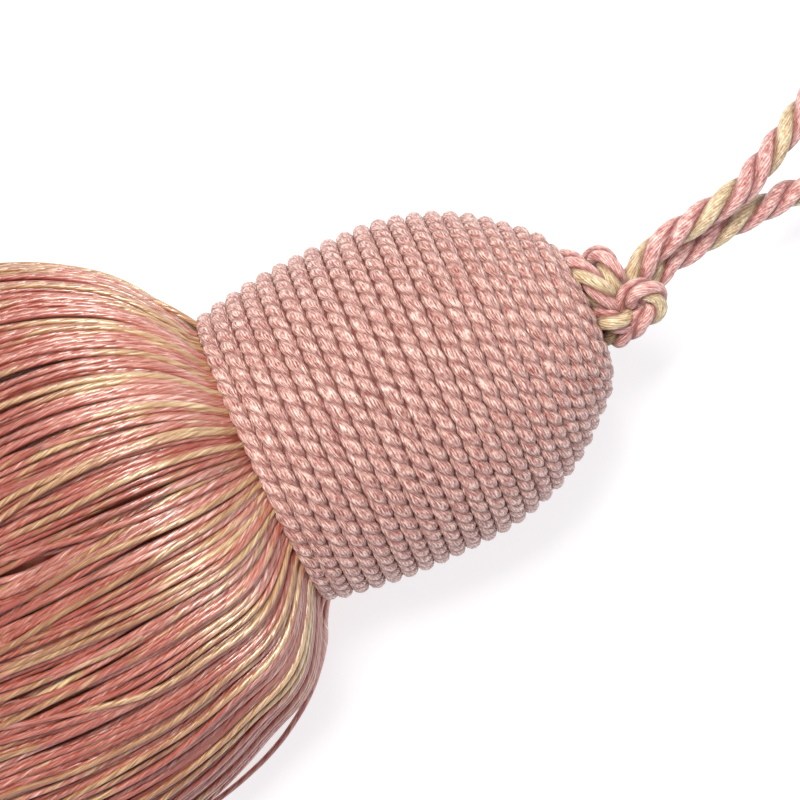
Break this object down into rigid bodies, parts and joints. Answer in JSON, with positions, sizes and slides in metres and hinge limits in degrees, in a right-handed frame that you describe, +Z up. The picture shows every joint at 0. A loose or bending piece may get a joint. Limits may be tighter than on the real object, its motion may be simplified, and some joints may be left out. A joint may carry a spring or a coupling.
{
  "type": "tassel",
  "caption": "Decorative tassel lying on its side: cord-wound bell head, full thread skirt, and a knotted hanging loop at the crown.",
  "frame": {"origin": "middle of the tassel's footprint, without its hanging loop, on the surface that it lies on", "axes": "+X along the head's axis from the skirt towards the crown and hanging loop, +Z up, +Y to the left seen from the skirt"},
  "size_m": [0.2995, 0.1194, 0.0644],
  "materials": {
    "head_cord": "dusty rose twisted rayon cord, soft sheen",
    "skirt_thread": "rose and champagne rayon threads with a silky sheen",
    "hanging_cord": "twisted rayon cord of two rose strands and one champagne strand"
  },
  "bodies": {
    "root": {"head": "head_cord", "skirt": "skirt_thread", "knot": "hanging_cord", "hanging_loop": "hanging_cord"}
  },
  "joints": []
}
